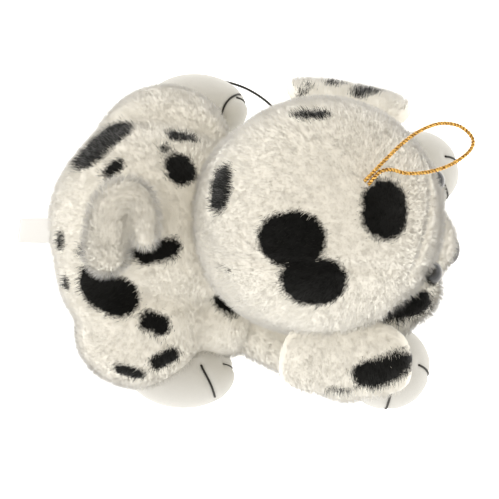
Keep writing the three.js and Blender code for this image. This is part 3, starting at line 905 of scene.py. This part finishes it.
class PUPPY_OT_body(Operator):
    """Builds the body's cover, dished where the head rests, and the neck"""

    bl_idname = "puppy.body"
    bl_label = "Body"

    def execute(self, context):
        sizes = context.scene.puppy_sizes
        inset = sizes.cover_inset
        parts = [ball(place(0, 43, 34), np.array((42, 41, 36)) * MM - inset, segments=48, rings=32),
                 ball(place(0, 5, 31), np.array((36, 35, 32)) * MM - inset, segments=48, rings=32),
                 ball(place(0, 24, 32), np.array((37, 30, 32)) * MM - inset)]
        parts += [ball(place(-35, 13, 23), np.array((13.5, 14, 19)) * MM),
                  ball(place(-14, 55, 30), np.array((31, 24, 28)) * MM),
                  ball(place(13, 53, 31), np.array((30, 24, 28)) * MM)]
        for side in ("left", "right"):
            centre, radii = form_of(f"hind_{side}_thigh_cover")
            shift = np.array((-2.5, -4.5, 0) if side == "left" else (0.5, -1.5, 0)) * MM
            parts.append(ball(centre + shift, radii * (1, 0.9, 1) - inset))
            shifted = centre + shift + np.array((-0.16 * centre[0], 0, 10 * MM))
            parts.append(ball(shifted, radii * (0.95, 0.96 if side == "left" else 0.87, 0.8) - inset))
        back = [place(0, y, 34 + 36 * math.sqrt(max(0, 1 - ((y - 43) / 41) ** 2))) for y in range(24, 84, 3)]
        skin = merge("body_skin", parts, sizes.voxel * 1.15, 30)
        inflate(skin, 0.8 * MM, [back])
        keep_outside(skin, HEAD_CENTRE, HEAD_RADII + 1.0 * MM)
        rest_on(skin, 0.6 * MM)
        press_in(skin, [back], 0.4 * MM, 1.8 * MM)

        def keep(roots, up):
            hidden = np.linalg.norm((roots - HEAD_CENTRE) / (HEAD_RADII + 1.4 * MM), axis=1) < 1
            for side in ("left", "right"):
                centre, radii = form_of(f"hind_{side}_foot_cover")
                hidden |= np.linalg.norm((roots - centre) / (radii - 1 * MM), axis=1) < 1
            return ~hidden & (roots[:, 2] > 0.9 * MM)

        for side, direction in (("left", 1), ("right", -1)):
            start, end = (np.array(place(direction * p[0], *p[1:])) for p in HAUNCH)
            axis = unit(end - start)
            haunch = part_of(skin, f"hind_{side}_haunch_skin", lambda p: (p - start) @ axis > 0)
            finish_skin(haunch, "body", None, f"hind_{side}_thigh_cover", f"hind_{side}_thigh_stuffing")
            pile = grow_pile(haunch, f"hind_{side}_pile", "body", backwards, keep=keep, seed=10 + direction)
            for piece in (haunch, pile):
                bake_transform(piece)
            skin = part_of(skin, "body_skin", lambda p: (p - start) @ axis <= 0, drop=True)
        finish_skin(skin, "body", "body", "belly_panel", "back_left_panel", "back_right_panel", "body_stuffing")
        grow_pile(skin, "body_pile", "body", backwards, "body", keep=keep, seed=2)

        ruff = ball(HEAD_CENTRE + np.array((-0.6, 5, -6.5)) * MM, HEAD_RADII - np.array((4.6, 2.6, 4)) * MM)
        neck = merge("neck_skin", [*limb(place(-2, -9, 50), place(-2, 14, 32), 11 * MM, 13 * MM), ruff], 2 * MM, 3)
        finish_skin(neck, "tail", "neck", "neck_stuffing")
        grow_pile(neck, "neck_pile", "tail", backwards, "neck", keep=lambda r, n: (n @ (0, 0.6, -0.8)) > 0.1, seed=5)
        return {"FINISHED"}


class PUPPY_OT_hind_feet(Operator):
    """Builds the two hind feet, smooth with toes, under the haunches"""

    bl_idname = "puppy.hind_feet"
    bl_label = "Hind feet"

    def execute(self, context):
        for side in ("left", "right"):
            body = f"hind_{side}"
            smooth_foot(body, "foot", *form_of(f"{body}_foot_cover"), *HIND_TOES[side])
        return {"FINISHED"}


def on_ball(centre, radii, heading, tilt):
    """A point on a foot's form from a heading and a height angle, in degrees; 0 looks forwards along -Y."""
    h, t = math.radians(heading), math.radians(tilt)
    return centre + radii * np.array((math.sin(h) * math.cos(t), -math.cos(h) * math.cos(t), math.sin(t)))


def smooth_foot(body, word, centre, radii, inner, outer, toes):
    """A short-pile foot with soft toes and two yarn lines between them."""
    sizes = bpy.context.scene.puppy_sizes
    parts = [ball(centre, radii + (0.9 if word == "paw" else 0.2) * MM, segments=40, rings=28)]
    for heading in toes:
        where = on_ball(centre, radii * 0.62, heading, -4)
        parts.append(ball(where, radii * (0.44, 0.38 if word == "foot" else 0.46, 0.58)))
    skin = merge(f"{body}_{word}_skin", parts, sizes.voxel * 0.85, 6)
    paths = []
    for line in (inner, outer):
        knots = smooth_path([on_ball(centre, radii, *pair) for pair in line], 1.5 * MM)
        paths.append(list(knots))
    press_in(skin, paths, 1.1 * MM, 1.7 * MM)
    rest_on(skin, 0.3 * MM)
    put_on(skin, "foot_cloth", body, "short_pile", f"{body}_{word}_cover", f"{body}_{word}_stuffing")
    for path, end in zip(paths, ("inner", "outer")):
        slim = 0.5 if (body, end) == ("hind_right", "inner") else 0.85
        laid = []
        for point in path:
            _, where, normal, _ = skin.closest_point_on_mesh(Vector(point))
            laid.append(np.array(where) + np.array(normal) * 0.25 * MM)
        laid = np.array(laid)
        laid[1:-1] = (laid[:-2] + laid[1:-1] + laid[2:]) / 3
        yarn, _, _ = twisted_cord(f"{body}_toe_yarn_{end}", laid[::2], sizes.yarn * slim, 3, 3.2 * MM, sides=10)
        put_on(yarn, "black_yarn", body, "black_yarn", f"{body}_toe_line_{end}")


class PUPPY_OT_fore_legs(Operator):
    """Builds the two fore legs: a furry leg and a smooth paw with toes"""

    bl_idname = "puppy.fore_legs"
    bl_label = "Fore legs"

    def execute(self, context):
        sizes = context.scene.puppy_sizes
        inset = sizes.cover_inset
        legs = {"left": ((32, -1, 20), (39, -46, 15.4)), "right": ((-32, 0, 20), (-46, -37, 15.4))}
        for number, (side, (shoulder, wrist)) in enumerate(legs.items()):
            body = f"fore_{side}"
            paw_centre, paw_radii = form_of(f"{body}_paw_cover")
            leg = limb(place(*shoulder), place(*wrist), 15.6 * MM - inset, 16.2 * MM - inset)
            skin = merge(f"{body}_leg_skin", leg, sizes.voxel, 3)
            keep_outside(skin, HEAD_CENTRE, HEAD_RADII + 0.8 * MM)
            rest_on(skin, 0.6 * MM)
            finish_skin(skin, body, body, f"{body}_leg_cover", f"{body}_leg_stuffing")

            def keep(roots, up):
                in_paw = np.linalg.norm((roots - paw_centre) / (paw_radii - 1 * MM), axis=1) < 1
                in_head = np.linalg.norm((roots - HEAD_CENTRE) / (HEAD_RADII + 1.5 * MM), axis=1) < 1
                return ~in_paw & ~in_head & (roots[:, 2] > 0.9 * MM)

            grow_pile(skin, f"{body}_pile", body, lambda r, n: np.tile((0.0, -1.0, -0.2), (len(r), 1)), body,
                      keep=keep, seed=20 + number)
            smooth_foot(body, "paw", paw_centre, paw_radii, *FORE_TOES[side])
        return {"FINISHED"}


EAR_ROOT = (37.5, -34.5, 60.0)  # across from the head's middle, along and up, in millimetres
EAR_SIZE = (25.6, 34.0, 4.4)  # half width, length, half thickness
EAR_SET = {1: (2.5, 4.0, 0.12), -1: (0.0, 0.0, 0.0)}  # each ear lifted, moved back and flared at its rear
EAR_BEND = (22.0, 78.0)  # how steeply the ear falls at its root and at its edge, in degrees


def ear_form(direction, plan, angle, height):
    """Points of an ear from its flat plan: a rounded square that falls over the side of the head."""
    square = (np.abs(np.cos(angle)) ** 3 + np.abs(np.sin(angle)) ** 3) ** (-1 / 3)
    run = np.clip((plan * square * np.cos(angle) + 1) / 2, 0, 1)
    across = plan * square * np.sin(angle) * EAR_SIZE[0] * (1 - 0.14 * (1 - run) ** 2)
    low, high = np.radians(EAR_BEND)
    mean = low + (high - low) / 2 * run
    slope = low + (high - low) * run
    thick = EAR_SIZE[2] * height
    out = EAR_ROOT[0] + EAR_SIZE[1] * run * np.cos(mean) + thick * np.sin(slope)
    up = EAR_ROOT[2] - EAR_SIZE[1] * run * np.sin(mean) + thick * np.cos(slope)
    lift, back, flare = EAR_SET[direction]
    middle = np.array(place(-2, EAR_ROOT[1] + back, lift))
    out = out + flare * across
    return np.stack([middle[0] + direction * out * MM, middle[1] + across * MM, middle[2] + up * MM], axis=1)


class PUPPY_OT_ears(Operator):
    """Builds the two drooping ears, puffed in the middle, with a smooth turned edge"""

    bl_idname = "puppy.ears"
    bl_label = "Ears"

    def execute(self, context):
        sizes = context.scene.puppy_sizes
        for number, (side, direction) in enumerate((("left", 1), ("right", -1))):
            body = f"ear_{side}"
            flap = ball((0, 0, 0), (1, 1, 1), segments=56, rings=36)
            points = points_of(flap.data)
            plan, angle = np.hypot(points[:, 0], points[:, 1]), np.arctan2(points[:, 1], points[:, 0])
            height = np.where(points[:, 2] > 0, 1.25, 0.75) * np.sign(points[:, 2]) * np.abs(points[:, 2]) ** 0.75
            put_points(flap.data, ear_form(direction, plan, angle, height))
            skin = merge(f"{body}_skin", [flap], sizes.voxel, 2)
            turn = np.radians(np.arange(0, 360, 3))
            rim = ear_form(direction, np.ones(len(turn)), turn, np.zeros(len(turn)))
            free = np.cos(turn) > -0.6
            middle = ear_form(direction, np.zeros(1), np.zeros(1), np.zeros(1))[0]
            outward = unit(np.array((direction * 0.75, 0, 0.66)))
            seam = [p - (p - middle) * 0.11 + outward * 1.2 * MM for p in rim[free]]
            inflate(skin, 0.8 * MM, [seam])
            press_in(skin, [seam], 0.7 * MM, 1.4 * MM)
            finish_skin(skin, body, body, f"{body}_outer", f"{body}_lining")
            tree = KDTree(int(free.sum()))
            for index, point in enumerate(rim[free]):
                tree.insert(point, index)
            tree.balance()

            def keep(roots, up):
                outside = np.linalg.norm((roots - HEAD_CENTRE) / (HEAD_RADII - 2 * MM), axis=1) > 1
                edge = np.array([tree.find(root)[2] for root in roots])
                return outside & (edge > 3.6 * MM) & (up @ outward > 0.1)

            def comb(roots, up):
                return np.tile((direction * 0.8, -0.1, -0.6), (len(roots), 1))

            grow_pile(skin, f"{body}_pile", body, comb, body, keep=keep, seed=30 + number)
        return {"FINISHED"}


class PUPPY_OT_tail(Operator):
    """Builds the curled tail"""

    bl_idname = "puppy.tail"
    bl_label = "Tail"

    def execute(self, context):
        sizes = context.scene.puppy_sizes
        line = smooth_path([(*p, r) for p, r in zip(TAIL_PATH, TAIL_RADII)], 2.0)
        parts = [ball(place(*p[:3]), (p[3] * MM,) * 3, segments=20, rings=12) for p in line]
        skin = merge("tail_skin", parts, sizes.voxel, 3)
        finish_skin(skin, "tail", None, "tail_base_cover", "tail_base_stuffing", "tail_tip_cover", "tail_tip_stuffing")
        ahead = unit(np.gradient(np.array([place(*p[:3]) for p in line]), axis=0))
        spine = np.array([place(*p[:3]) for p in line])

        def comb(roots, up):
            nearest = np.argmin(np.linalg.norm(roots[:, None] - spine[None], axis=2), axis=1)
            return ahead[nearest]

        pile = grow_pile(skin, "tail_pile", "tail", comb, length=4.0 * MM, density=1.4, clump=0.4,
                         seed=40)
        for piece in (skin, pile):
            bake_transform(piece)
        return {"FINISHED"}


class PUPPY_OT_face(Operator):
    """Adds the eyes, the nose and the mouth"""

    bl_idname = "puppy.face"
    bl_label = "Face"

    def execute(self, context):
        sizes = context.scene.puppy_sizes
        for side in ("left", "right"):
            centre, radii = form_of(f"eye_{side}")
            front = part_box(f"eye_{side}")[0][1] + 6.0 * MM
            eye = ball((centre[0], front, centre[2]), (4.5 * MM, 4.2 * MM, 4.5 * MM))
            eye.name = eye.data.name = f"eye_{side}_dome"
            put_on(eye, "black_plastic", "head", "black_plastic", f"eye_{side}")
        centre, radii = form_of("nose")
        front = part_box("nose")[0][1] + 5.2 * MM
        nose = ball((centre[0], front, centre[2]), (6 * MM, 4 * MM, 4.2 * MM), segments=40, rings=28)
        nose.name = nose.data.name = "nose_button"
        put_on(nose, "black_plastic", "head", "black_plastic", "nose")
        low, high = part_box("mouth_stitch")
        middle = (low[0] + high[0]) / 2
        points = [(middle + t * 8 * MM, low[1] + (0.4 + 1.2 * t * t) * MM, low[2] + (0.6 + 2.2 * t * t) * MM)
                  for t in np.linspace(-1, 1, 9)]
        mouth, _, _ = twisted_cord("mouth_yarn", points, sizes.yarn, 3, 3.2 * MM, sides=10)
        put_on(mouth, "black_yarn", "head", "black_yarn", "mouth_stitch")
        return {"FINISHED"}


LABEL_OUT = 5 * MM


class PUPPY_OT_label(Operator):
    """Adds the blank ribbon label behind the rump and finishes the inner pieces"""

    bl_idname = "puppy.label"
    bl_label = "Label and inner pieces"

    def execute(self, context):
        low, high = (np.array(c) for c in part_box("blank_label"))
        deselect()
        bpy.ops.mesh.primitive_grid_add(x_subdivisions=10, y_subdivisions=24, size=1)
        label = context.object
        label.name = label.data.name = "label_ribbon"
        points = points_of(label.data)
        across = points[:, 0] * (high[0] - low[0])
        run = (points[:, 1] + 0.5) * 2
        out = 1 - np.abs(1 - run)
        fold = np.sign(run - 1) * np.sqrt(np.clip(1 - out**2, 0, 1)) * 0.45 * MM
        y = low[1] - 1.5 * MM + out * (high[1] - low[1] + LABEL_OUT)
        z = high[2] - (y - low[1]) * 0.21 + fold - 0.3 * MM
        put_points(label.data, np.stack([(low[0] + high[0]) / 2 + across, y, z], axis=1))
        put_on(label, "satin_ribbon", "body", "satin_ribbon", "blank_label")
        inner = {"bean_pouch": "pouch_cloth", "bean_fill": "pellets"}
        inner.update({f"{word}_washer": "white_plastic" for word in ("eye_left", "eye_right", "nose")})
        for node, finish in inner.items():
            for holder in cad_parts[node].material_slots:
                holder.material = bpy.data.materials[f"puppy_{finish}"]
        return {"FINISHED"}


class PUPPY_PT_panel(Panel):
    """Lists the steps that build the puppy."""

    bl_idname = "PUPPY_PT_panel"
    bl_label = "Plush puppy"
    bl_space_type = "VIEW_3D"
    bl_region_type = "UI"
    bl_category = "Puppy"

    def draw(self, context):
        for name in ("pile_length", "pile_width", "pile_density", "voxel"):
            self.layout.prop(context.scene.puppy_sizes, name)
        for name in ("ivory", "black", "short_pile", "gold"):
            self.layout.prop(context.scene.puppy_colours, name)
        for step in STEPS:
            self.layout.operator(step.bl_idname)


STEPS = (PUPPY_OT_stage, PUPPY_OT_cords, PUPPY_OT_head, PUPPY_OT_body, PUPPY_OT_hind_feet, PUPPY_OT_fore_legs,
         PUPPY_OT_ears, PUPPY_OT_tail, PUPPY_OT_face, PUPPY_OT_label)
CLASSES = (PuppySizes, PuppyColours, *STEPS, PUPPY_PT_panel)


def register():
    for each in CLASSES:
        bpy.utils.register_class(each)
    bpy.types.Scene.puppy_sizes = PointerProperty(type=PuppySizes)
    bpy.types.Scene.puppy_colours = PointerProperty(type=PuppyColours)


def unregister():
    del bpy.types.Scene.puppy_colours
    del bpy.types.Scene.puppy_sizes
    for each in reversed(CLASSES):
        bpy.utils.unregister_class(each)


def main():
    register()
    finishes()
    for step in STEPS:
        group, name = step.bl_idname.split(".")
        getattr(getattr(bpy.ops, group), name)()


if __name__ == "__main__":
    main()
